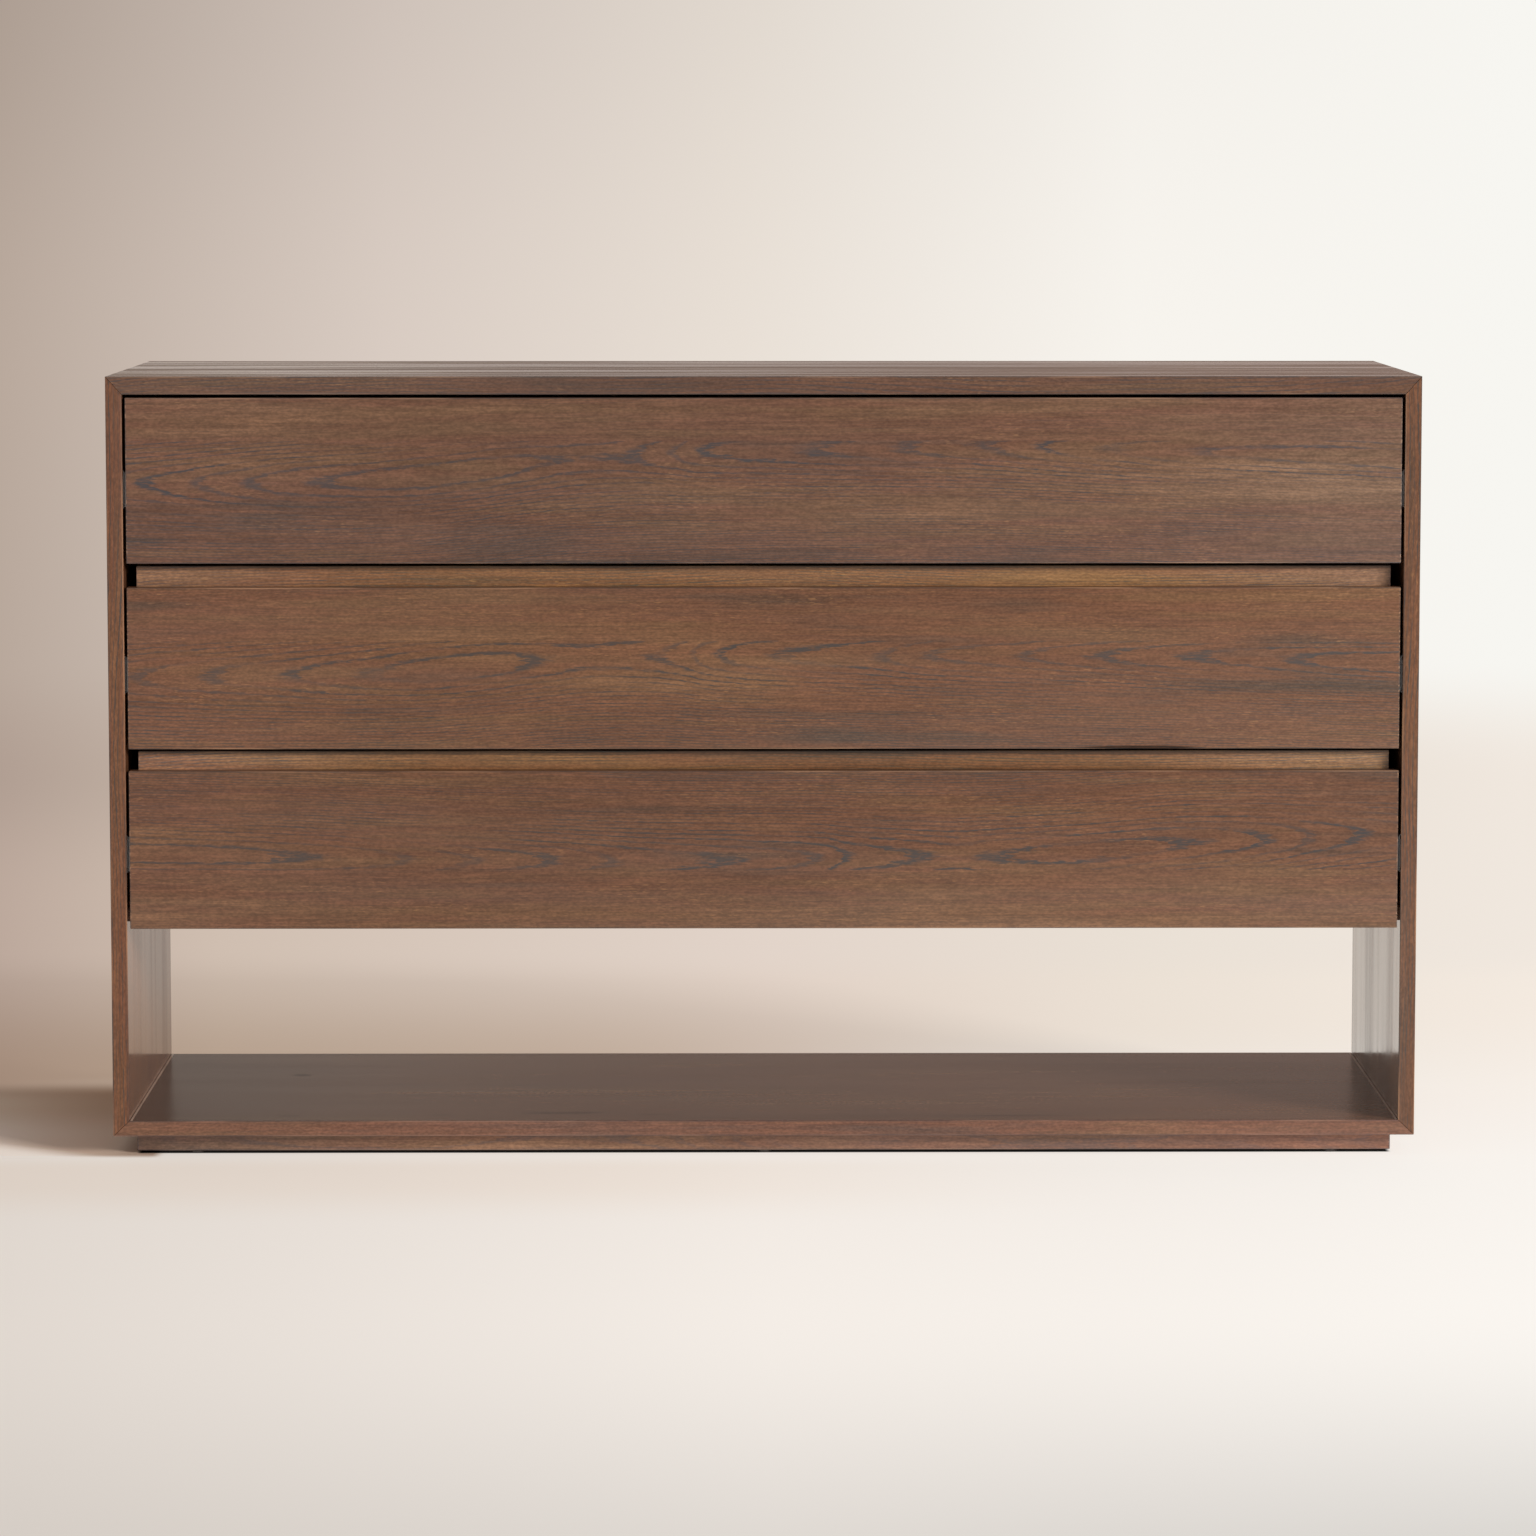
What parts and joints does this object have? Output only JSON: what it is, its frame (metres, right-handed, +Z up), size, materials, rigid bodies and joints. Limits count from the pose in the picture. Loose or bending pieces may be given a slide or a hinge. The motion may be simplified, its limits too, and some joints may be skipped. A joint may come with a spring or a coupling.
{
  "type": "dresser",
  "caption": "Wide low dresser in dark stained oak veneer: full-width drawers without handles, on ball-bearing slides, over an open shelf, in a mitred case on a set-back plinth.",
  "frame": {"origin": "on the floor under the middle of the case", "axes": "+X to the right as seen from the front, +Y towards the back, +Z up. The drawers open towards -Y"},
  "size_m": [1.524, 0.4572, 0.9144],
  "materials": {
    "stained_oak": "oak veneer, dark brown stain, satin lacquer",
    "stained_strip": "oak veneer on the drawer box's face, the same stain, satin lacquer",
    "stained_back": "thin plywood back, stained dark brown, matt",
    "clear_birch": "solid birch drawer box, clear satin lacquer",
    "zinc_steel": "bright zinc-plated rolled steel",
    "dark_nylon": "moulded dark nylon"
  },
  "bodies": {
    "case": {"top_panel": "stained_oak", "side_panel_left": "stained_oak", "side_panel_right": "stained_oak", "shelf_panel": "stained_oak", "drawer_floor_panel": "stained_oak", "back_panel": "stained_back", "plinth_front": "stained_oak", "plinth_back": "stained_oak", "plinth_left": "stained_oak", "plinth_right": "stained_oak", "plinth_rail": "stained_oak", "glide_front_left": "dark_nylon", "glide_front_middle": "dark_nylon", "glide_front_right": "dark_nylon", "glide_back_left": "dark_nylon", "glide_back_middle": "dark_nylon", "glide_back_right": "dark_nylon", "slide_case_top_left": "zinc_steel", "slide_case_top_right": "zinc_steel", "slide_case_middle_left": "zinc_steel", "slide_case_middle_right": "zinc_steel", "slide_case_bottom_left": "zinc_steel", "slide_case_bottom_right": "zinc_steel"},
    "runners_top": {"slide_runner_top_left": "zinc_steel", "slide_runner_top_right": "zinc_steel"},
    "runners_middle": {"slide_runner_middle_left": "zinc_steel", "slide_runner_middle_right": "zinc_steel"},
    "runners_bottom": {"slide_runner_bottom_left": "zinc_steel", "slide_runner_bottom_right": "zinc_steel"},
    "drawer_top": {"drawer_top_front": "stained_oak", "drawer_top_box_front": "stained_strip", "drawer_top_side_left": "clear_birch", "drawer_top_side_right": "clear_birch", "drawer_top_box_back": "clear_birch", "drawer_top_base": "clear_birch", "drawer_top_batten": "clear_birch", "slide_drawer_top_left": "zinc_steel", "slide_drawer_top_right": "zinc_steel"},
    "drawer_middle": {"drawer_middle_front": "stained_oak", "drawer_middle_box_front": "stained_strip", "drawer_middle_side_left": "clear_birch", "drawer_middle_side_right": "clear_birch", "drawer_middle_box_back": "clear_birch", "drawer_middle_base": "clear_birch", "drawer_middle_batten": "clear_birch", "slide_drawer_middle_left": "zinc_steel", "slide_drawer_middle_right": "zinc_steel"},
    "drawer_bottom": {"drawer_bottom_front": "stained_oak", "drawer_bottom_box_front": "stained_strip", "drawer_bottom_side_left": "clear_birch", "drawer_bottom_side_right": "clear_birch", "drawer_bottom_box_back": "clear_birch", "drawer_bottom_base": "clear_birch", "drawer_bottom_batten": "clear_birch", "slide_drawer_bottom_left": "zinc_steel", "slide_drawer_bottom_right": "zinc_steel"}
  },
  "joints": [
    {"name": "drawer_top_slide", "type": "slide", "parent": "case", "child": "drawer_top", "axis": [0, -1, 0], "range_m": [0, 0.375]},
    {"name": "drawer_middle_slide", "type": "slide", "parent": "case", "child": "drawer_middle", "axis": [0, -1, 0], "range_m": [0, 0.375]},
    {"name": "drawer_bottom_slide", "type": "slide", "parent": "case", "child": "drawer_bottom", "axis": [0, -1, 0], "range_m": [0, 0.375]},
    {"name": "runner_top_slide", "type": "slide", "parent": "case", "child": "runners_top", "axis": [0, -1, 0], "range_m": [0, 0.1875]},
    {"name": "runner_middle_slide", "type": "slide", "parent": "case", "child": "runners_middle", "axis": [0, -1, 0], "range_m": [0, 0.1875]},
    {"name": "runner_bottom_slide", "type": "slide", "parent": "case", "child": "runners_bottom", "axis": [0, -1, 0], "range_m": [0, 0.1875]}
  ],
  "couplings": [
    {"joint": "runner_top_slide", "follows": "drawer_top_slide", "ratio": 0.5},
    {"joint": "runner_middle_slide", "follows": "drawer_middle_slide", "ratio": 0.5},
    {"joint": "runner_bottom_slide", "follows": "drawer_bottom_slide", "ratio": 0.5}
  ]
}
